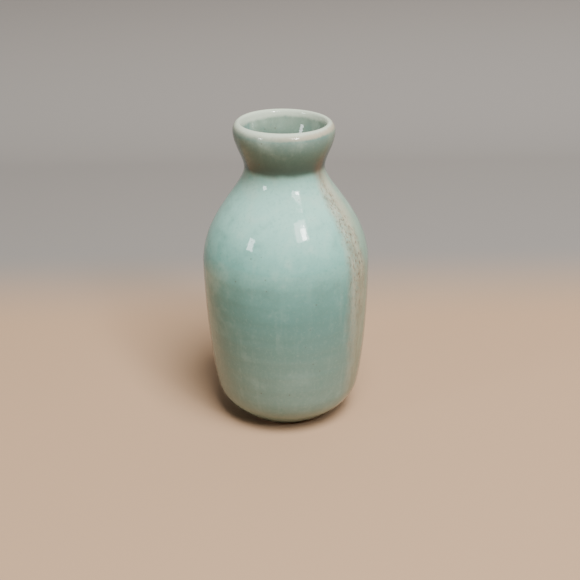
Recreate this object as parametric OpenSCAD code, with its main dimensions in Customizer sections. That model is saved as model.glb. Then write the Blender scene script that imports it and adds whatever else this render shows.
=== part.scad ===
// Bud vase: a small thrown stoneware bottle with a flared mouth, glazed in celadon.
// The clay is one thrown wall. The fired glaze coats lie on it as separate closed shells.
// The origin is the middle of the foot, +Z is up, and the front of the vase looks along -Y.

/* [Foot and body] */
// Overall height
height = 120; // [118:0.5:124]
// Diameter of the ring that the vase stands on
foot_d = 32.4; // [31:0.2:35]
// Diameter where the rounded bottom turns into the side
heel_d = 57.6; // [55:0.2:59]
// Height where the rounded bottom turns into the side
heel_z = 16.2; // [14:0.2:18]
// Largest diameter of the body
body_d = 64.4; // [62:0.2:68]
// Height of the largest diameter
body_z = 64.6; // [62:0.2:68]

/* [Neck and mouth] */
// Outer diameter at the narrowest part of the neck
neck_d = 30.6; // [29.4:0.2:32.4]
// Height of the narrowest part of the neck
neck_z = 102.8; // [101.6:0.2:104]
// Outer diameter of the mouth
mouth_d = 38.4; // [37:0.2:40]
// Distance from the top of the lip down to the widest ring of the mouth
lip_drop = 3.4; // [3:0.1:4]
// Distance from the outside of the mouth to the inner edge of the lip
lip_w = 3.9; // [3.5:0.1:4.3]

/* [Inside] */
// Wall of the body, glaze included
wall = 4.2; // [3.8:0.1:4.6]
// Thickness of the bottom at its middle, glaze included
bottom = 6.4; // [5.8:0.1:7]
// Diameter of the straight part of the throat
throat_d = 22.2; // [21:0.2:22.8]
// Length of the straight part of the throat
throat_len = 3.2; // [2.6:0.1:3.6]
// Diameter of the shallow hollow turned under the foot
recess_d = 25; // [22:0.5:26]
// Depth of that hollow
recess_h = 1.2; // [0.8:0.1:1.6]

/* [Glaze] */
// Thickness of the fired glaze
glaze_t = 0.5; // [0.4:0.05:0.6]
// Height of the bare clay left above the resting plane
bare_z = 1.3; // [1:0.1:1.6]
// Direction of the iron streak, seen from above and counted from +X
streak_at = -33; // [-38:1:-28]
// Angle that the iron streak covers
streak_angle = 18; // [14:1:22]

/* [Hidden] */
$fn = 96;

foot_r = foot_d / 2;
heel_r = heel_d / 2;
body_r = body_d / 2;
neck_r = neck_d / 2;
mouth_r = mouth_d / 2;
throat_r = throat_d / 2;
recess_r = recess_d / 2;
mouth_z = height - lip_drop;
body_in_r = body_r - wall;
throat_top_z = neck_z + throat_len / 2;
throat_low_z = neck_z - throat_len / 2;

// The crown of the lip lies a little inside the middle of its width
crown_r = mouth_r - 0.58 * lip_w;
// The inner edge of the lip, where it runs into the mouth
lip_in_r = mouth_r - lip_w;
lip_in_z = mouth_z + 0.4;
// The inner corner between the bottom and the side
corner_r = heel_r - wall;
corner_z = heel_z + 2.4;

// Each curve leaves its ends in their own directions, for the distances named here
foot_rise = 35;
foot_pull = 11.7;
heel_pull = 7.4;
side_pull = 14.4;
shoulder_pull = 18.8;
neck_pull = 7.7;
flare_pull = 4;
mouth_pull = 5;
lip_pull = 1.7;
crown_pull = 1.1;
edge_pull = 1.5;
funnel_pull = 4.8;
throat_pull = 3.4;
corner_pull = 8;
bottom_pull = 13.4;
// The side at the heel, and the mouth at the lip's inner edge, lean by this much per unit of height
heel_lean = 0.17;
lip_lean = 0.28;

// Longest straight piece of an outline, and of the tighter lip
piece = 2.5;
lip_piece = 0.6;
// Bevels at the two edges of the standing ring
foot_bevel = 0.35;
recess_bevel = 0.8;

// The outside, from the foot up to the widest ring of the mouth
heel = [
    [foot_r, 0],
    [foot_r, 0] + foot_pull * [cos(foot_rise), sin(foot_rise)],
    [heel_r, heel_z] - heel_pull * [heel_lean, 1],
    [heel_r, heel_z]
];
side = [
    [heel_r, heel_z],
    [heel_r, heel_z] + side_pull * [heel_lean, 1],
    [body_r, body_z - side_pull],
    [body_r, body_z]
];
shoulder = [
    [body_r, body_z],
    [body_r, body_z + shoulder_pull],
    [neck_r, neck_z - neck_pull],
    [neck_r, neck_z]
];
flare = [
    [neck_r, neck_z],
    [neck_r, neck_z + flare_pull],
    [mouth_r, mouth_z - mouth_pull],
    [mouth_r, mouth_z]
];

// The lip, over its crown
lip_outside = [
    [mouth_r, mouth_z],
    [mouth_r, mouth_z + lip_pull],
    [crown_r + crown_pull, height],
    [crown_r, height]
];
lip_inside = [
    [crown_r, height],
    [crown_r - crown_pull, height],
    [lip_in_r, lip_in_z] + edge_pull * [lip_lean, 1],
    [lip_in_r, lip_in_z]
];

// The inside, down to the middle of the bottom
funnel = [
    [lip_in_r, lip_in_z],
    [lip_in_r, lip_in_z] - funnel_pull * [lip_lean, 1],
    [throat_r, throat_top_z + throat_pull],
    [throat_r, throat_top_z]
];
vault = [
    [throat_r, throat_low_z],
    [throat_r, throat_low_z - neck_pull],
    [body_in_r, body_z + shoulder_pull],
    [body_in_r, body_z]
];
inner_side = [
    [body_in_r, body_z],
    [body_in_r, body_z - side_pull],
    [corner_r, corner_z] + side_pull * [heel_lean, 1],
    [corner_r, corner_z]
];
inner_bottom = [
    [corner_r, corner_z],
    [corner_r, corner_z] - corner_pull * [heel_lean, 1],
    [bottom_pull, bottom],
    [0, bottom]
];

// A cubic curve and its direction at parameter t, from 0 at its start to 1 at its end
function at(p, t) = let (s = 1 - t)
    s * s * s * p[0] + 3 * s * s * t * p[1] + 3 * s * t * t * p[2] + t * t * t * p[3];
function way(p, t) = let (s = 1 - t)
    s * s * (p[1] - p[0]) + 2 * s * t * (p[2] - p[1]) + t * t * (p[3] - p[2]);

// The same point, moved by d to the left of the curve's direction, which is into the clay
function beside(p, t, d) = let (w = way(p, t)) at(p, t) + d * [-w[1], w[0]] / norm(w);

// A curve as points no further apart than longest, from parameter start on
function curve(p, d, longest = piece, start = 0) =
    let (n = ceil((norm(p[1] - p[0]) + norm(p[2] - p[1]) + norm(p[3] - p[2])) / longest))
    [for (i = [0 : n]) beside(p, start + (1 - start) * i / n, d)];

// Where a rising curve reaches height z, found by halving
function reach(p, z, low = 0, high = 1, steps = 24) = let (mid = (low + high) / 2)
    steps == 0 ? mid
    : at(p, mid)[1] < z ? reach(p, z, mid, high, steps - 1)
    : reach(p, z, low, mid, steps - 1);

function without_first(p) = [for (i = [1 : len(p) - 1]) p[i]];
function backwards(p) = [for (i = [len(p) - 1 : -1 : 0]) p[i]];

// The three stretches of the glazed skin, d below its shiny face
function outside_line(d) = concat(
    curve(heel, d, start = reach(heel, bare_z)),
    without_first(curve(side, d)),
    without_first(curve(shoulder, d)),
    without_first(curve(flare, d))
);
function lip_line(d) = concat(
    curve(lip_outside, d, lip_piece),
    without_first(curve(lip_inside, d, lip_piece))
);
// Between the funnel and the vault one straight line makes the throat a true cylinder
function inside_line(d) = concat(
    curve(funnel, d),
    curve(vault, d),
    without_first(curve(inner_side, d)),
    without_first(curve(inner_bottom, d))
);

// The section of a coat, between its shiny face and the clay
module coat(shiny, clay) {
    polygon(concat(shiny, backwards(clay)));
}

// A coat of the outside that starts at one angle and covers another
module outside_coat(from, turn) {
    rotate_extrude(angle = turn, start = from)
        coat(outside_line(0), outside_line(glaze_t));
}

// Each of the two dips of the outside covers half of what the streak leaves
dip_turn = (360 - streak_angle) / 2;

// The thrown clay wall, with the foot left bare and hollowed underneath
module clay_body() {
    foot_line = [
        [0, recess_h],
        [recess_r - recess_bevel, recess_h],
        [recess_r, 0],
        [foot_r - foot_bevel, 0],
        [foot_r, foot_bevel]
    ];
    color("#b79b7c")
        rotate_extrude()
            polygon(concat(
                foot_line,
                outside_line(glaze_t),
                without_first(lip_line(glaze_t)),
                without_first(inside_line(glaze_t))
            ));
}

// First dip: the front and the left of the vase
module front_glaze() {
    color("#a8c9bc")
        outside_coat(streak_at - streak_angle / 2 - dip_turn, dip_turn);
}

// Second dip: the back and the right of the vase
module back_glaze() {
    color("#a3b8a6")
        outside_coat(streak_at + streak_angle / 2, dip_turn);
}

// Where the two dips meet thinly and the iron of the clay comes through
module iron_streak() {
    color("#a08a70")
        outside_coat(streak_at - streak_angle / 2, streak_angle);
}

// The dip of the lip, which breaks pale over the edge
module lip_glaze() {
    color("#c3cfbf")
        rotate_extrude()
            coat(lip_line(0), lip_line(glaze_t));
}

// The glaze poured into the vase and out again
module liner_glaze() {
    color("#9fbfb0")
        rotate_extrude()
            coat(inside_line(0), inside_line(glaze_t));
}

clay_body();
front_glaze();
back_glaze();
iron_streak();
lip_glaze();
liner_glaze();
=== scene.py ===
import math

import bpy
import numpy as np
from mathutils import Matrix, Vector


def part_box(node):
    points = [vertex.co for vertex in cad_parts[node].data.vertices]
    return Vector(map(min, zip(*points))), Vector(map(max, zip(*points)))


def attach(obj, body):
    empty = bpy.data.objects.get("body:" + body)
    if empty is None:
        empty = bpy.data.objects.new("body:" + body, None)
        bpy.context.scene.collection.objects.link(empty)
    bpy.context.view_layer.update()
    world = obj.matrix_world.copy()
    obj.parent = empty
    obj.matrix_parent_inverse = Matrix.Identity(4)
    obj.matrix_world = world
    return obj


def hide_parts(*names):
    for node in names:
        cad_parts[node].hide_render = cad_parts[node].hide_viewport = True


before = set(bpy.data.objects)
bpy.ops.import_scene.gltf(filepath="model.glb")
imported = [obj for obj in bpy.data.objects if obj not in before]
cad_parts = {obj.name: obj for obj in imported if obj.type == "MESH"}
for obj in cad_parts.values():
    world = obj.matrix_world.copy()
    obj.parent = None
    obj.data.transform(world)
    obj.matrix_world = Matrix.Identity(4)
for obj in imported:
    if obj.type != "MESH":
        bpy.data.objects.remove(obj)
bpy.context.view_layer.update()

mm = 0.001

# The pot as it was thrown. What the solids' boxes can tell is read from them.
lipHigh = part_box("lip_glaze")[1]
dipLow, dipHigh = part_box("front_glaze")
pot = {
    "height": lipHigh.z,
    "mouth": (lipHigh.x, dipHigh.z),  # radius and height of the widest ring of the mouth
    "belly": (-dipLow.x, 64.6 * mm),
    "neck": (15.3 * mm, 102.8 * mm),
    "heel": (28.8 * mm, 16.2 * mm),
    "foot": (16.2 * mm, 0),
    "footRise": math.radians(35),
    "pulls": {  # how far each curve's handles reach
        "foot": 11.7 * mm, "heel": 7.4 * mm, "side": 14.4 * mm, "shoulder": 18.8 * mm, "neck": 7.7 * mm,
        "flare": 4.0 * mm, "mouth": 5.0 * mm, "lip": 1.7 * mm, "crown": 1.1 * mm, "edge": 1.5 * mm,
        "funnel": 4.8 * mm, "throat": 3.4 * mm, "corner": 8.0 * mm, "bottom": 13.4 * mm,
    },
    "heelLean": 0.17,
    "lipLean": 0.28,
    "lipWidth": 3.9 * mm,
    "crownIn": 0.58,  # of the lip's width, from its outer edge
    "lipEdgeRise": 0.4 * mm,
    "cornerRise": 2.4 * mm,
    "throat": (11.1 * mm, 3.2 * mm),  # radius and straight length
    "wall": 4.2 * mm,
    "bottom": 6.4 * mm,
    "bare": 1.3 * mm,  # clay left unglazed above the table
    "glaze": 0.5 * mm,
    "columns": 360,
}


def cubic(a, b, c, d, count=300):
    t = np.linspace(0, 1, count)[:, None]
    s = 1 - t
    a, b, c, d = (np.array(p, float) for p in (a, b, c, d))
    return s**3 * a + 3 * s * s * t * b + 3 * s * t * t * c + t**3 * d


def chain(curves):
    return np.vstack([c if i == 0 else c[1:] for i, c in enumerate(curves)])


def outline():  # the glazed skin in section: up the outside, over the lip, down to the middle of the bottom
    pull = pot["pulls"]
    up, out = np.array([0, 1.0]), np.array([1.0, 0])
    places = ("foot", "heel", "belly", "neck", "mouth")
    foot, heel, belly, neck, mouth = (np.array(pot[place], float) for place in places)
    rise = np.array([math.cos(pot["footRise"]), math.sin(pot["footRise"])])
    lean, lipLean = np.array([pot["heelLean"], 1]), np.array([pot["lipLean"], 1])
    crown = np.array([mouth[0] - pot["crownIn"] * pot["lipWidth"], pot["height"]])
    lipEdge = mouth + (-pot["lipWidth"], pot["lipEdgeRise"])
    throatTop = np.array([pot["throat"][0], neck[1] + pot["throat"][1] / 2])
    throatLow = throatTop - pot["throat"][1] * up
    inBelly = belly - pot["wall"] * out
    corner = heel + (-pot["wall"], pot["cornerRise"])
    outside = chain([
        cubic(foot, foot + pull["foot"] * rise, heel - pull["heel"] * lean, heel),
        cubic(heel, heel + pull["side"] * lean, belly - pull["side"] * up, belly),
        cubic(belly, belly + pull["shoulder"] * up, neck - pull["neck"] * up, neck),
        cubic(neck, neck + pull["flare"] * up, mouth - pull["mouth"] * up, mouth),
    ])
    lip = chain([
        cubic(mouth, mouth + pull["lip"] * up, crown + pull["crown"] * out, crown),
        cubic(crown, crown - pull["crown"] * out, lipEdge + pull["edge"] * lipLean, lipEdge),
    ])
    inside = chain([
        cubic(lipEdge, lipEdge - pull["funnel"] * lipLean, throatTop + pull["throat"] * up, throatTop),
        cubic(throatTop, throatTop, throatLow, throatLow),
        cubic(throatLow, throatLow - pull["neck"] * up, inBelly + pull["shoulder"] * up, inBelly),
        cubic(inBelly, inBelly - pull["side"] * up, corner + pull["side"] * lean, corner),
        cubic(corner, corner - pull["corner"] * lean, (pull["bottom"], pot["bottom"]), (0, pot["bottom"])),
    ])
    return outside, lip, inside


outside, lip, inside = outline()
path = chain([outside, lip, inside])
along = np.concatenate([[0], np.cumsum(np.linalg.norm(np.diff(path, axis=0), axis=1))])
mouthAt = along[len(outside) - 1]
lipEdgeAt = along[len(outside) + len(lip) - 2]
bareAt = np.interp(pot["bare"], outside[:200, 1], along[:200])
tangent = np.gradient(path, along, axis=0)
tangent /= np.linalg.norm(tangent, axis=1)[:, None]


def smooth(x, low, high):
    t = np.clip((x - low) / (high - low), 0, 1)
    return t * t * (3 - 2 * t)


def spread(start, end, first, last, middle):  # places along the skin, closer together near both ends
    s = np.linspace(start, end, 4000)
    step = np.minimum(middle, np.minimum(first + 0.2 * (s - start), last + 0.2 * (end - s)))
    count = np.concatenate([[0], np.cumsum(np.diff(s) / (step[1:] + step[:-1]) * 2)])
    return np.interp(np.linspace(0, count[-1], math.ceil(count[-1]) + 1), count, s)


rowGaps = {  # at the start, at the end and in the middle
    "outside": (0.05 * mm, 0.35 * mm, 0.75 * mm),
    "lip": (0.3 * mm, 0.3 * mm, 0.3 * mm),
    "inside": (0.35 * mm, 1.5 * mm, 2.5 * mm),
}
rowsOutside = spread(bareAt, mouthAt, *rowGaps["outside"])
rowsLip = spread(mouthAt, lipEdgeAt, *rowGaps["lip"])
rowsInside = spread(lipEdgeAt, along[-1], *rowGaps["inside"])
rowPlaces = np.concatenate([rowsOutside, rowsLip[1:], rowsInside[1:]])
mouthRow = len(rowsOutside) - 1
lipEdgeRow = mouthRow + len(rowsLip) - 1
angles = np.radians(np.arange(pot["columns"]))

# What the potter's hands and the kiln did to the form
hand = {
    "ringPitch": 6.1 * mm, "ringDepth": 0.014 * mm,
    "finePitch": 3.4 * mm, "fineDepth": 0.006 * mm,
    "ringFoot": (2 * mm, 9 * mm), "ringTop": (112 * mm, 116 * mm),  # heights where the rings fade
    "insidePitch": 7.3 * mm, "insideDepth": 0.16 * mm,
    "oval": 0.06 * mm, "ovalTwists": (40 * mm, 25 * mm),
    "lean": (0.12 * mm, 0.0), "leanHigh": (60 * mm, 108 * mm),  # how far the neck stands off the axis
    "tilt": (-0.0175, 0.0), "tiltHigh": (98 * mm, 118 * mm),  # slope of the mouth's plane along x and y
    "waver": 0.35 * mm, "waverHigh": 3 * mm,  # of the glaze's lower edge
    "roll": 0.6 * mm,  # width of its rounded edge
    "rollRise": 0.1 * mm, "riseAt": 1.3 * mm, "riseWide": 0.7 * mm,
    "streakDip": 0.1 * mm, "streakWide": 0.16,
    "overlap": 0.07 * mm, "overlapWide": 0.06,
    "seamTop": (104 * mm, 114 * mm),
}
streakCorners = [v.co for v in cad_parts["iron_streak"].data.vertices]
streakFrom = math.degrees(min(math.atan2(c.y, c.x) for c in streakCorners))
streakTo = math.degrees(max(math.atan2(c.y, c.x) for c in streakCorners))
streakAt = math.radians((streakFrom + streakTo) / 2)


def turned(angle, at):  # the angle counted from another one, from -pi to pi
    return (angle - at + math.pi) % (2 * math.pi) - math.pi


def relief(a, z, s):
    h = hand
    rings = h["ringDepth"] * np.sin(2 * np.pi * z / h["ringPitch"] + a + 0.5 * np.sin(a + 1))
    rings += h["fineDepth"] * np.sin(2 * np.pi * z / h["finePitch"] + a + 2.1 + 0.7 * np.sin(2 * a))
    rings *= smooth(z, *h["ringFoot"]) * (1 - smooth(z, *h["ringTop"]))
    slow, quick = h["ovalTwists"]
    oval = h["oval"] * np.sin(2 * a + 0.8 + z / slow) + 0.5 * h["oval"] * np.sin(3 * a + 2 + z / quick)
    dip = -h["streakDip"] * np.exp(-((turned(a, streakAt) / h["streakWide"]) ** 2))
    dip += h["overlap"] * np.exp(-((turned(a, streakAt + math.pi) / h["overlapWide"]) ** 2))
    dip *= 1 - smooth(z, *h["seamTop"])
    isOutside = 1 - smooth(s, mouthAt - 2 * mm, mouthAt)
    isInside = smooth(s, lipEdgeAt + 2 * mm, lipEdgeAt + 8 * mm)
    isInside *= 1 - smooth(s, along[-1] - 14 * mm, along[-1] - 4 * mm)
    inRings = h["insideDepth"] * np.sin(2 * np.pi * z / h["insidePitch"] - a + 0.4 * np.sin(2 * a))
    ovalShare = isOutside + (1 - isOutside) * (1 - isInside)
    return (rings + dip) * isOutside + inRings * isInside + oval * ovalShare


def settle(x, y, z):  # the lean of the pot and the tilt of its mouth
    up = smooth(z, *hand["leanHigh"])
    near = smooth(z, *hand["tiltHigh"])
    z = z + near * (hand["tilt"][0] * x + hand["tilt"][1] * y)
    return np.stack([x + up * hand["lean"][0], y + up * hand["lean"][1], z], axis=-1)


def skin(depth, rolled):  # the surface that lies depth below the shiny face, as rows of rings
    a, s = np.meshgrid(angles, rowPlaces)
    edge = s - bareAt
    waver = hand["waver"] * (np.sin(3 * a + 1) + 0.6 * np.sin(7 * a + 2.4) + 0.4 * np.sin(13 * a))
    s = s + waver * np.exp(-edge / hand["waverHigh"])
    r, z = (np.interp(s, along, path[:, k]) for k in (0, 1))
    tr, tz = (np.interp(s, along, tangent[:, k]) for k in (0, 1))
    if rolled:
        short = np.clip(1 - edge / hand["roll"], 0, 1)
        depth = depth + pot["glaze"] * (1 - np.sqrt(1 - short**2))
        depth = depth - hand["rollRise"] * np.exp(-((edge - hand["riseAt"]) / hand["riseWide"]) ** 2)
    sink = depth - relief(a, z, s)
    r, z = np.maximum(r - tz * sink, 0), z + tr * sink
    return settle(r * np.cos(a), r * np.sin(a), z)


def normalsOf(grid):
    wrapped = np.concatenate([grid[:, -1:], grid, grid[:, :1]], axis=1)
    round = wrapped[:, 2:] - wrapped[:, :-2]
    up = np.gradient(grid, rowPlaces, axis=0)
    n = np.cross(round, up)
    length = np.linalg.norm(n, axis=2, keepdims=True)
    n = n / np.maximum(length, 1e-12)
    n[-1] = (0, 0, 1)
    return n


shiny = skin(0, True)
clayFace = skin(pot["glaze"], False)
shinyNormals = normalsOf(shiny)
clayNormals = normalsOf(clayFace)
print("thrown:", shiny.shape[0], "rows of", shiny.shape[1])


def makeMesh(name, points, faces, corners):  # corners: one normal for each corner of each face
    mesh = bpy.data.meshes.new(name)
    mesh.from_pydata(points, [], faces)
    mesh.polygons.foreach_set("use_smooth", [True] * len(mesh.polygons))
    mesh.update()
    mesh.normals_split_custom_set(corners)
    piece = bpy.data.objects.new(name, mesh)
    bpy.context.collection.objects.link(piece)
    return piece


def shell(name, firstRow, lastRow, firstColumn, columnCount):
    columns = pot["columns"]
    isRing = columnCount == columns
    picked = [(firstColumn + k) % columns for k in range(columnCount if isRing else columnCount + 1)]
    rows = list(range(firstRow, lastRow + 1))
    hasPole = lastRow == len(rowPlaces) - 1
    points, normals = [], []
    index = np.zeros((2, len(rows), len(picked)), int)
    for side, (grid, ways) in enumerate(((shiny, shinyNormals), (clayFace, clayNormals))):
        for i, row in enumerate(rows):
            if hasPole and row == lastRow:
                index[side, i, :] = len(points)
                points.append(grid[row].mean(axis=0))
                normals.append(ways[row, 0])
                continue
            index[side, i, :] = len(points) + np.arange(len(picked))
            points.extend(grid[row, picked])
            normals.extend(ways[row, picked])
    faces, corners = [], []

    def add(face, fromSkin):
        face = [v for k, v in enumerate(face) if v != face[k - 1]]
        if len(face) < 3:
            return
        faces.append(face)
        if fromSkin is None:
            p = [points[v] for v in face]
            flat = np.cross(p[1] - p[0], p[2] - p[0])
            corners.extend([flat / max(np.linalg.norm(flat), 1e-15)] * len(face))
        else:
            corners.extend([fromSkin * normals[v] for v in face])

    lastPick = len(picked) if isRing else len(picked) - 1
    for j in range(lastPick):
        k = (j + 1) % len(picked)
        for i in range(len(rows) - 1):
            add([index[0, i, j], index[0, i, k], index[0, i + 1, k], index[0, i + 1, j]], 1)
            add([index[1, i, j], index[1, i + 1, j], index[1, i + 1, k], index[1, i, k]], -1)
        add([index[0, 0, j], index[1, 0, j], index[1, 0, k], index[0, 0, k]], None)
        if not hasPole:
            add([index[0, -1, k], index[1, -1, k], index[1, -1, j], index[0, -1, j]], None)
    if not isRing:
        for i in range(len(rows) - 1):
            add([index[0, i, 0], index[0, i + 1, 0], index[1, i + 1, 0], index[1, i, 0]], None)
            add([index[0, i + 1, -1], index[0, i, -1], index[1, i, -1], index[1, i + 1, -1]], None)
    return makeMesh(name, points, faces, corners)


# The foot that the potter turned: rings of (radius, height), from the middle outwards
foot = {
    "recess": (12.5 * mm, 1.2 * mm),
    "recessBevel": 0.8 * mm,
    "edge": 0.35 * mm,
    "toolPitch": 0.9 * mm,
    "toolDepth": 0.035 * mm,
    "hidden": [0, 6, 12, *range(16, len(rowPlaces) - 1, 4)],  # rows of the clay that the glaze covers
}


def clayRings():
    r, h = foot["recess"]
    outer = pot["foot"][0]
    middle = [(t * (r - foot["recessBevel"]), h) for t in np.linspace(0.02, 1, 46)]
    bevel = [(r - foot["recessBevel"] * (1 - t), h * (1 - t)) for t in np.linspace(0.2, 1, 5)]
    ring = [(r + t * (outer - foot["edge"] - r), 0) for t in np.linspace(0.1, 1, 12)]
    edge, quarter = foot["edge"], np.radians([18, 36, 54, 72, 90])
    turn = [(outer - edge * (1 - math.sin(t)), edge * (1 - math.cos(t))) for t in quarter]
    return middle + bevel + ring + turn


def makeClay():
    rings = clayRings()
    a = angles
    points = [np.array([0, 0, foot["recess"][1]])]
    index = [np.zeros(len(a), int)]

    def addRing(ring):
        index.append(len(points) + np.arange(len(a)))
        points.extend(ring)

    for r, z in rings:
        inRecess = z > 0.5 * foot["recess"][1]
        mark = foot["toolDepth"] * np.sin(2 * np.pi * r / foot["toolPitch"] + a) * inRecess
        addRing(np.stack([r * np.cos(a), r * np.sin(a), np.full_like(a, z) + mark], axis=-1))
    # bare clay from the foot's edge to where the glaze starts, then under the glaze to the inside
    lastFoot = points[-len(a):]
    start = clayFace[0]
    for t in np.linspace(0, 1, 9)[1:-1]:
        addRing([p + t * (q - p) for p, q in zip(lastFoot, start)])
    for row in foot["hidden"]:
        addRing(clayFace[row])
    index.append(np.full(len(a), len(points)))
    points.append(clayFace[-1].mean(axis=0))
    faces = []
    for i in range(len(index) - 1):
        for j in range(len(a)):
            k = (j + 1) % len(a)
            face = [index[i][j], index[i][k], index[i + 1][k], index[i + 1][j]]
            face = [v for n, v in enumerate(face) if v != face[n - 1]]
            faces.append(face)
    mesh = bpy.data.meshes.new("clay_body_turned")
    mesh.from_pydata(points, [], faces)
    mesh.polygons.foreach_set("use_smooth", [True] * len(mesh.polygons))
    mesh.update()
    mesh.set_sharp_from_angle(angle=math.radians(40))
    piece = bpy.data.objects.new("clay_body_turned", mesh)
    bpy.context.collection.objects.link(piece)
    return piece


streakStart = round(streakFrom) % 360
streakWidth = round(streakTo - streakFrom)
dipWidth = (360 - streakWidth) // 2
frontDip = shell("front_glaze_dip", 0, mouthRow, streakStart - dipWidth, dipWidth)
ironStreak = shell("iron_streak_run", 0, mouthRow, streakStart, streakWidth)
backDip = shell("back_glaze_dip", 0, mouthRow, streakStart + streakWidth, dipWidth)
lipDip = shell("lip_glaze_dip", mouthRow, lipEdgeRow, 0, 360)
liner = shell("liner_glaze_pour", lipEdgeRow, len(rowPlaces) - 1, 0, 360)
clay = makeClay()
thrown = (frontDip, ironStreak, backDip, lipDip, liner, clay)
print("pieces:", [(piece.name, len(piece.data.polygons)) for piece in thrown])


class Wire:  # a value in a material; expressions on wires add Math nodes
    def __init__(self, paint, socket):
        self.paint, self.socket = paint, socket

    def math(self, operation, a, b=None):
        sockets = {0: a} if b is None else {0: a, 1: b}
        return self.paint.node("ShaderNodeMath", {"operation": operation}, sockets)

    def __add__(self, other):
        return self.math("ADD", self, other)

    def __radd__(self, other):
        return self.math("ADD", other, self)

    def __sub__(self, other):
        return self.math("SUBTRACT", self, other)

    def __rsub__(self, other):
        return self.math("SUBTRACT", other, self)

    def __mul__(self, other):
        return self.math("MULTIPLY", self, other)

    def __rmul__(self, other):
        return self.math("MULTIPLY", other, self)

    def __truediv__(self, other):
        return self.math("DIVIDE", self, other)

    def __rtruediv__(self, other):
        return self.math("DIVIDE", other, self)

    def __abs__(self):
        return self.math("ABSOLUTE", self)


class Paint:  # a material with a Principled shader
    def __init__(self, name):
        self.material = bpy.data.materials.new(name)
        self.material.use_nodes = True
        self.tree = self.material.node_tree
        self.tree.nodes.clear()
        output = self.tree.nodes.new("ShaderNodeOutputMaterial")
        self.shader = self.tree.nodes.new("ShaderNodeBsdfPrincipled")
        self.tree.links.new(self.shader.outputs[0], output.inputs["Surface"])

    def put(self, socket, value):
        if isinstance(value, Wire):
            self.tree.links.new(value.socket, socket)
        else:
            socket.default_value = value

    def node(self, kind, settings=None, sockets=None, output=0):
        new = self.tree.nodes.new(kind)
        for key, value in (settings or {}).items():
            if key == "stops":
                for _ in range(len(value) - 2):
                    new.color_ramp.elements.new(0.5)
                for element, (place, colour) in zip(new.color_ramp.elements, value):
                    element.position = place
                    element.color = (*colour, 1)
            elif key == "ease":
                new.color_ramp.interpolation = value
            else:
                setattr(new, key, value)
        for key, value in (sockets or {}).items():
            self.put(new.inputs[key], value)
        if output is None:
            return [Wire(self, o) for o in new.outputs]
        return Wire(self, new.outputs[output])

    def set(self, **values):
        for key, value in values.items():
            self.put(self.shader.inputs[key.replace("_", " ")], value)

    def place(self):  # where a point lies, in millimetres
        at = self.node("ShaderNodeTexCoord", output=3)
        self.spot = self.node("ShaderNodeVectorMath", {"operation": "SCALE"}, {0: at, "Scale": 1000})
        self.x, self.y, self.z = self.node("ShaderNodeSeparateXYZ", sockets={0: self.spot}, output=None)

    def stretch(self, x, y, z):
        return self.node("ShaderNodeVectorMath", {"operation": "MULTIPLY"}, {0: self.spot, 1: (x, y, z)})

    def noise(self, size, detail=2.0, rough=0.5, where=None, warp=0.0):
        sockets = {"Vector": where or self.spot, "Scale": 1 / size, "Detail": detail}
        sockets |= {"Roughness": rough, "Distortion": warp}
        return self.node("ShaderNodeTexNoise", {"noise_dimensions": "3D"}, sockets)

    def step(self, value, low, high, toLow=0.0, toHigh=1.0):
        return self.node("ShaderNodeMapRange", {"interpolation_type": "SMOOTHSTEP"}, {
            "Value": value, "From Min": low, "From Max": high, "To Min": toLow, "To Max": toHigh})

    def mix(self, share, a, b):
        a, b = ((*c, 1) if isinstance(c, tuple) and len(c) == 3 else c for c in (a, b))
        return self.node("ShaderNodeMix", {"data_type": "RGBA"}, {0: share, 6: a, 7: b}, output=2)

    def ramp(self, value, low, high, stops):
        even = self.node("ShaderNodeMapRange", {}, {"Value": value, "From Min": low, "From Max": high})
        stops = [((place - low) / (high - low), colour) for place, colour in stops]
        return self.node("ShaderNodeValToRGB", {"stops": stops, "ease": "B_SPLINE"}, {0: even})

    def bump(self, height, depth, under=None):  # depth in metres for a height of 1
        sockets = {"Height": height, "Distance": depth, "Strength": 1.0}
        if under:
            sockets["Normal"] = under
        return self.node("ShaderNodeBump", {}, sockets)


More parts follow.
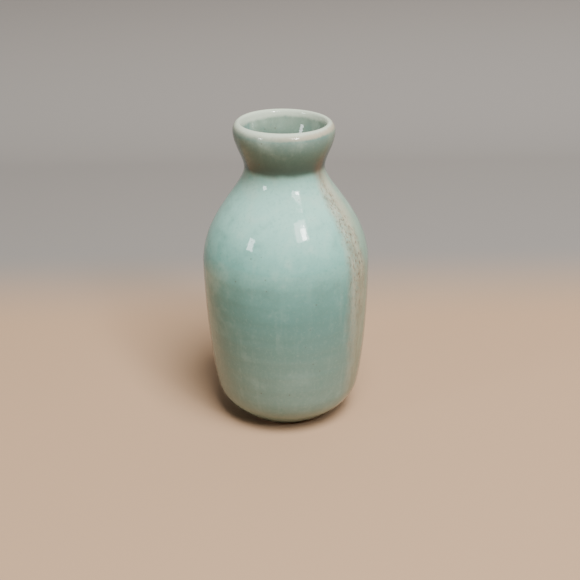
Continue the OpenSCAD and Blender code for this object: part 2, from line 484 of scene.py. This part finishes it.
# Colours are linear. Sizes and heights are in millimetres, heights above the table.
# A noise is its size, detail and roughness. A fade is where something begins and where it is full,
# then its share at both if that isn't 0 and 1.
celadon = {
    # In both ramps the dark stop at 112 mm is painted shade under the flare.
    "front": [
        (0, (0.15, 0.225, 0.195)), (14, (0.165, 0.250, 0.208)), (34, (0.116, 0.210, 0.180)),
        (50, (0.078, 0.200, 0.180)), (62, (0.108, 0.275, 0.250)), (76, (0.19, 0.43, 0.37)),
        (90, (0.31, 0.58, 0.50)), (100, (0.24, 0.46, 0.39)), (112, (0.060, 0.125, 0.110)),
        (120, (0.21, 0.31, 0.26)),
    ],
    "back": [
        (0, (0.13, 0.17, 0.12)), (30, (0.14, 0.20, 0.14)), (60, (0.15, 0.24, 0.18)), (85, (0.26, 0.40, 0.31)),
        (100, (0.25, 0.36, 0.28)), (112, (0.12, 0.17, 0.13)), (120, (0.27, 0.35, 0.27)),
    ],
    "tall": (0, 120),
    "milk": (0.46, 0.60, 0.50),
    "depth": (0.08, 0.20, 0.17),
    "ash": (0.30, 0.34, 0.25),
    "poolAndShade": (0.016, 0.044, 0.038),  # painted shade under the flare, over glaze that gathers thick there
    "cloud": (17, 3, 0.55), "cloudWarp": 0.3, "patch": (5, 3, 0.5),
    "mottle": (1.1, 3, 0.6), "grain": (0.4, 2, 0.5),
    "run": (3.2, 3, 0.55), "runStretch": (1, 1, 0.12),
    "band": (2.2, 2, 0.5), "bandStretch": (0.05, 0.05, 1),
    "seam": (0.10, -0.10), "seamWaver": 0.12,
    "cloudShift": 12, "patchShift": 4,  # of the tone, up or down
    "milkyCloud": (0.50, 0.74), "milkyHigh": (40, 75, 0.10, 0.26), "milkyPatch": 0.5,
    "milkyRun": (0.52, 0.74, 0, 0.07),
    "milkyMottle": (0.50, 0.78, 0, 0.08),
    "deepCloud": (0.5, 0.3, 0, 0.30), "deepBlend": (0.6, 0.4),
    "deepMottle": (0.48, 0.28, 0, 0.20),
    "ashGrain": (0.50, 0.80, 0, 0.12),
    "ashBand": (0.50, 0.66, 0, 0.04), "bandHigh": (52, 34),
    "poolAndShadeFoot": (101.6, 104.4), "poolAndShadeTop": (116.0, 105.0, 0.10, 0.86), "poolAndShadeWaver": 1.6,
    "rollHigh": (3.6, 1.6, 0, 0.60),
    "shine": (0.3, 0.8, 0.035, 0.08), "ior": 1.52,
}


def sway(noise, amount):
    return (noise - 0.5) * amount


def surveyGlaze(p):  # the textures that all parts of the glaze share, and where a point lies round the streak
    c = celadon
    p.cloud = p.noise(*c["cloud"], warp=c["cloudWarp"])
    p.patch = p.noise(*c["patch"])
    p.mottle = p.noise(*c["mottle"])
    p.radius = p.node("ShaderNodeVectorMath", {"operation": "LENGTH"}, {0: p.stretch(1, 1, 0)}, output=1)
    p.across = (p.y * math.cos(streakAt) - p.x * math.sin(streakAt)) / p.radius  # sine of the angle from it
    p.ahead = (p.x * math.cos(streakAt) + p.y * math.sin(streakAt)) / p.radius


def dipTone(p):
    c = celadon
    grain = p.noise(*c["grain"])
    runs = p.noise(*c["run"], where=p.stretch(*c["runStretch"]))
    isFront = p.step(p.across + sway(p.patch, c["seamWaver"]), *c["seam"])
    tall = p.z + sway(p.cloud, c["cloudShift"]) + sway(p.patch, c["patchShift"])
    colour = p.mix(isFront, p.ramp(tall, *c["tall"], c["back"]), p.ramp(tall, *c["tall"], c["front"]))
    milky = p.step(p.cloud + sway(p.patch, c["milkyPatch"]), *c["milkyCloud"])
    milky = milky * p.step(p.z, *c["milkyHigh"])
    colour = p.mix(milky, colour, c["milk"])
    colour = p.mix(p.step(runs, *c["milkyRun"]), colour, c["milk"])
    cloudShare, patchShare = c["deepBlend"]
    deep = p.step(p.cloud * cloudShare + p.patch * patchShare, *c["deepCloud"])
    colour = p.mix(deep, colour, c["depth"])
    colour = p.mix(p.step(p.mottle, *c["milkyMottle"]), colour, c["milk"])
    colour = p.mix(p.step(p.mottle, *c["deepMottle"]), colour, c["depth"])
    colour = p.mix(p.step(grain, *c["ashGrain"]), colour, c["ash"])
    # darken the flare's underside: painted shade, with glaze gathered thick there
    pooledAndShaded = p.z + sway(p.patch, c["poolAndShadeWaver"])
    colour = p.mix(p.step(pooledAndShaded, *c["poolAndShadeFoot"]) * p.step(pooledAndShaded, *c["poolAndShadeTop"]), colour, c["poolAndShade"])
    # faint level bands low down, where the dip was held still
    band = p.noise(*c["band"], where=p.stretch(*c["bandStretch"]))
    return p.mix(p.step(band, *c["ashBand"]) * p.step(p.z, *c["bandHigh"]), colour, c["ash"])


# Iron comes through where the two dips meet: widest at the shoulder, faint and smooth low down
iron = {
    "tan": (0.26, 0.20, 0.135),
    "buff": (0.42, 0.36, 0.26),
    "cream": (0.44, 0.40, 0.28),
    # rusty brown, dark enough to be painted shade under the flare as well
    "rustAndShade": (0.10, 0.045, 0.030),
    "speck": (0.085, 0.050, 0.030),
    "wander": (11, 2, 0.5), "wanderBy": 0.12, "patchBy": 0.10, "mottleBy": 0.09,
    "wideHigh": (108, 88, 0.10, 0.18), "wideLow": (10, 60, 0.70, 1), "soft": (0.08, -0.10),
    "facing": (0, 0.25), "top": (106, 100.5), "strength": (14, 76, 0.26, 0.66),
    "thick": (3.4, 3, 0.6), "thickStretch": (1, 1, 0.3), "thin": (0.36, 0.66),
    "glazed": (0.45, 0.70, 0, 0.55),
    "creamSide": 0.20, "creamWide": (0.20, 0.03), "creamFoot": (74, 90), "creamTop": (106, 98),
    "creamShare": 0.42,
    "fleck": (1.0, 3, 0.7), "fleckStretch": (1, 1, 0.45), "flecks": (0.50, 0.66),
    "fleckFoot": (38, 70, 0.12, 0.70), "fleckTop": (101, 92, 0.25, 1),
    "rustAndShadeSide": 0.04, "rustAndShadeWide": (0.30, 0.02), "rustAndShadeHigh": 104.5, "rustAndShadeTall": (7, 1), "rustAndShadeShare": 0.40,
    "dotPitch": 5.5, "dots": (0.075, 0.035, 0, 0.45),
}


def ironTone(p, colour):
    c = iron
    facing = p.step(p.ahead, *c["facing"])
    wander = sway(p.noise(*c["wander"]), c["wanderBy"])
    wander = wander + sway(p.patch, c["patchBy"]) + sway(p.mottle, c["mottleBy"])
    place = p.across + wander
    wide = p.step(p.z, *c["wideHigh"]) * p.step(p.z, *c["wideLow"])
    inStreak = p.step(abs(place) - wide, *c["soft"]) * facing * p.step(p.z, *c["top"])
    thick = p.noise(*c["thick"], where=p.stretch(*c["thickStretch"]))
    bare = p.mix(p.step(thick, *c["thin"]), c["tan"], c["buff"])
    bare = p.mix(p.step(p.mottle, *c["glazed"]), bare, colour)
    colour = p.mix(inStreak * p.step(p.z, *c["strength"]), colour, bare)
    # the side of the streak away from the front is creamy on the shoulder
    creamy = p.step(abs(place - c["creamSide"]), *c["creamWide"])
    creamy = creamy * p.step(p.z, *c["creamFoot"]) * p.step(p.z, *c["creamTop"])
    colour = p.mix(creamy * facing * c["creamShare"], colour, c["cream"])
    # iron specks, drawn out downwards, thickest on the shoulder
    fleck = p.noise(*c["fleck"], where=p.stretch(*c["fleckStretch"]))
    most = p.step(p.z, *c["fleckFoot"]) * p.step(p.z, *c["fleckTop"])
    colour = p.mix(inStreak * p.step(fleck, *c["flecks"]) * most, colour, c["speck"])
    # one rusty patch where the streak runs up under the flare, made dark as painted shade under the flare
    rustAndShadeMask = p.step(abs(place + c["rustAndShadeSide"]), *c["rustAndShadeWide"])
    rustAndShadeMask = rustAndShadeMask * p.step(abs(p.z - c["rustAndShadeHigh"]), *c["rustAndShadeTall"])
    colour = p.mix(rustAndShadeMask * facing * c["rustAndShadeShare"], colour, c["rustAndShade"])
    # scattered specks of iron all over
    sockets = {"Vector": p.spot, "Scale": 1 / c["dotPitch"], "Randomness": 1.0}
    dots = p.node("ShaderNodeTexVoronoi", {"feature": "F1"}, sockets)
    return p.mix(p.step(dots, *c["dots"]), colour, c["speck"])


# The lip is paler over its crown and buff along its outer edge
brim = {
    "pale": (0.52, 0.58, 0.46), "paleShare": 0.80, "paleHigh": (116.8, 118.3),
    "patchBy": 1.0, "mottleBy": 0.5, "outside": (16.9, 18.2, 0, 1.3),
    "buffFoot": (115.9, 117.0), "buffTop": (118.6, 117.4), "buffOut": (17.2, 18.0),
    "buffSide": (-12, 12, 0.22, 0.75),
}


def edgeTone(p, colour):
    c = brim
    high = p.z + sway(p.patch, c["patchBy"]) + sway(p.mottle, c["mottleBy"])
    high = high - p.step(p.radius, *c["outside"])
    colour = p.mix(p.step(high, *c["paleHigh"]) * c["paleShare"], colour, c["pale"])
    edge = p.step(high, *c["buffFoot"]) * p.step(high, *c["buffTop"]) * p.step(p.radius, *c["buffOut"])
    colour = p.mix(edge * p.step(p.x, *c["buffSide"]), colour, iron["buff"])
    # the glaze turns darker over its lowest few millimetres
    return p.mix(p.step(p.z, *celadon["rollHigh"]), colour, celadon["depth"])


# Orange peel, strongest where the dips ran thick
peel = {
    "turn": math.radians(-61), "high": 88, "out": 26, "wide": (15, 5.25),
    "pits": (0.7, 2, 0.5), "pitDepth": 0.012 * mm,
    "wave": (3.0, 2, 0.5), "waveDepth": 0.010 * mm,
    "mottleDepth": 0.004 * mm,
}


def peelNormal(p):
    c = peel
    middle = (c["out"] * math.cos(c["turn"]), c["out"] * math.sin(c["turn"]), c["high"])
    away = p.node("ShaderNodeVectorMath", {"operation": "DISTANCE"}, {0: p.spot, 1: middle}, output=1)
    wave = p.bump(p.noise(*c["wave"]), c["waveDepth"])
    pits = p.bump(p.noise(*c["pits"]) * p.step(away, *c["wide"]), c["pitDepth"], wave)
    return p.bump(p.mottle, c["mottleDepth"], pits)


def glazePaint(name):
    p = Paint(name)
    p.place()
    surveyGlaze(p)
    colour = edgeTone(p, ironTone(p, dipTone(p)))
    p.set(Base_Color=colour, Normal=peelNormal(p))
    p.set(Roughness=p.step(p.mottle, *celadon["shine"]), IOR=celadon["ior"])
    return p.material


bareClay = {
    "dark": (0.40, 0.28, 0.18), "light": (0.55, 0.42, 0.29), "tone": (4, 4, 0.6),
    "iron": (0.16, 0.10, 0.06), "spot": (0.5, 3, 0.6), "spots": (0.6, 0.75, 0, 0.6),
    "grog": (0.35, 4, 0.65), "grogDepth": 0.05 * mm, "rough": (0.3, 0.7, 0.72, 0.92),
}


def clayPaint(name):
    p = Paint(name)
    p.place()
    c = bareClay
    body = p.mix(p.noise(*c["tone"]), c["dark"], c["light"])
    body = p.mix(p.step(p.noise(*c["spot"]), *c["spots"]), body, c["iron"])
    grog = p.noise(*c["grog"])
    p.set(Base_Color=body, Roughness=p.step(grog, *c["rough"]), Normal=p.bump(grog, c["grogDepth"]))
    return p.material


finishes = {
    "front_glaze": (frontDip, glazePaint("frontCeladon"), "front_celadon"),
    "back_glaze": (backDip, glazePaint("backCeladon"), "back_celadon"),
    "iron_streak": (ironStreak, glazePaint("ironGlaze"), "iron_glaze"),
    "lip_glaze": (lipDip, glazePaint("lipCeladon"), "lip_celadon"),
    "liner_glaze": (liner, glazePaint("linerCeladon"), "liner_celadon"),
    "clay_body": (clay, clayPaint("bareStoneware"), "bare_clay"),
}
for node, (piece, material, slot) in finishes.items():
    piece.data.materials.append(material)
    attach(piece, "root")
    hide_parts(node)
print("glazed:", len(finishes), "pieces")

room = {
    "floor": (0.38, 0.250, 0.155),
    "wall": (0.21, 0.195, 0.18),
    "turnsGrey": (70, 170),  # how far behind the pot the paper changes tone, in millimetres
    "wallAt": 0.42,
    "bend": 0.10,
    "size": 3.0,
    "roughness": 0.75,
    "sky": (0.84, 0.87, 0.90), "skyStrength": 0.04,
}


def paperPaint(name):
    p = Paint(name)
    p.place()
    tone = p.mix(p.step(p.y, *room["turnsGrey"]), room["floor"], room["wall"])
    p.set(Base_Color=tone, Roughness=room["roughness"])
    return p.material


def makeBackdrop():
    size, bend, wallAt = room["size"], room["bend"], room["wallAt"]
    section = [(-size, 0.0), (wallAt - bend, 0.0)]
    quarter = np.radians(np.arange(6, 91, 6))
    section += [(wallAt - bend * (1 - math.sin(t)), bend * (1 - math.cos(t))) for t in quarter]
    section += [(wallAt, size)]
    points = [(x, y, z) for y, z in section for x in (-size, size)]
    faces = [(2 * i, 2 * i + 1, 2 * i + 3, 2 * i + 2) for i in range(len(section) - 1)]
    mesh = bpy.data.meshes.new("backdrop")
    mesh.from_pydata(points, [], faces)
    mesh.polygons.foreach_set("use_smooth", [True] * len(faces))
    backdrop = bpy.data.objects.new("backdrop", mesh)
    bpy.context.collection.objects.link(backdrop)
    mesh.materials.append(paperPaint("plainPaper"))


flag = {"away": 1.1, "high": 2.2, "long": 3.2, "colour": (0.02, 0.02, 0.02), "roughness": 0.9}


def makeFlag():  # a dark board that keeps stray light off the left side; the camera doesn't see it
    x, half, high = -flag["away"], flag["long"] / 2, flag["high"]
    mesh = bpy.data.meshes.new("darkFlag")
    mesh.from_pydata([(x, -half, 0), (x, half, 0), (x, half, high), (x, -half, high)], [], [(0, 1, 2, 3)])
    board = bpy.data.objects.new("darkFlag", mesh)
    bpy.context.collection.objects.link(board)
    cloth = Paint("darkCloth")
    cloth.set(Base_Color=(*flag["colour"], 1), Roughness=flag["roughness"])
    mesh.materials.append(cloth.material)
    board.visible_camera = False


makeBackdrop()
makeFlag()

# Turn and rise are the direction from the pot, in degrees. A mirrored lamp shows in the glaze.
lamps = {
    "windowLeft": {
        "turn": -147, "rise": 26, "far": 1.3, "size": (0.20, 0.20), "power": 2.2, "colour": (0.94, 0.99, 1.0),
        "mirrored": True,
    },
    "windowRight": {
        "turn": -57, "rise": 38.6, "far": 1.3, "size": (0.15, 0.14), "power": 3.4, "colour": (1.0, 0.99, 0.97),
        "mirrored": True,
    },
    "blindRight": {
        "turn": -61, "rise": 40, "far": 1.35, "size": (0.42, 0.30), "power": 4.5, "colour": (1.0, 0.99, 0.97),
        "mirrored": True,
    },
    "softTop": {
        "turn": -64, "rise": 62, "far": 1.5, "size": (0.75, 0.75), "power": 59, "colour": (1.0, 0.99, 0.98),
        "mirrored": False,
    },
}
lampAim = Vector((0, 0, 0.08))


def makeLamp(name, lamp):
    light = bpy.data.lights.new(name, "AREA")
    light.shape = "RECTANGLE"
    light.size, light.size_y = lamp["size"]
    light.energy = lamp["power"]
    light.color = lamp["colour"]
    turn, rise = math.radians(lamp["turn"]), math.radians(lamp["rise"])
    way = Vector((math.cos(turn) * math.cos(rise), math.sin(turn) * math.cos(rise), math.sin(rise)))
    holder = bpy.data.objects.new(name, light)
    holder.location = lampAim + way * lamp["far"]
    holder.rotation_euler = way.to_track_quat("Z", "Y").to_euler()
    holder.visible_glossy = lamp["mirrored"]
    bpy.context.collection.objects.link(holder)


for name, lamp in lamps.items():
    makeLamp(name, lamp)

world = bpy.data.worlds.new("room")
bpy.context.scene.world = world
world.use_nodes = True
sky = world.node_tree.nodes["Background"]
sky.inputs["Color"].default_value = (*room["sky"], 1)
sky.inputs["Strength"].default_value = room["skyStrength"]

eye = {  # angles in degrees, the lens in millimetres
    "x": 1.39 * mm, "back": 396.2 * mm, "up": 231.7 * mm,
    "down": 24.49, "roll": -0.974, "lens": 68.27586,
}
camera = bpy.data.cameras.new("camera")
camera.sensor_width = 36
camera.lens = eye["lens"]
camera.clip_start = 0.01
viewer = bpy.data.objects.new("camera", camera)
viewer.matrix_world = (
    Matrix.Translation((eye["x"], -eye["back"], eye["up"]))
    @ Matrix.Rotation(math.radians(90 - eye["down"]), 4, "X")
    @ Matrix.Rotation(math.radians(eye["roll"]), 4, "Z")
)
bpy.context.collection.objects.link(viewer)
bpy.context.scene.camera = viewer
print("camera and lamps are set")
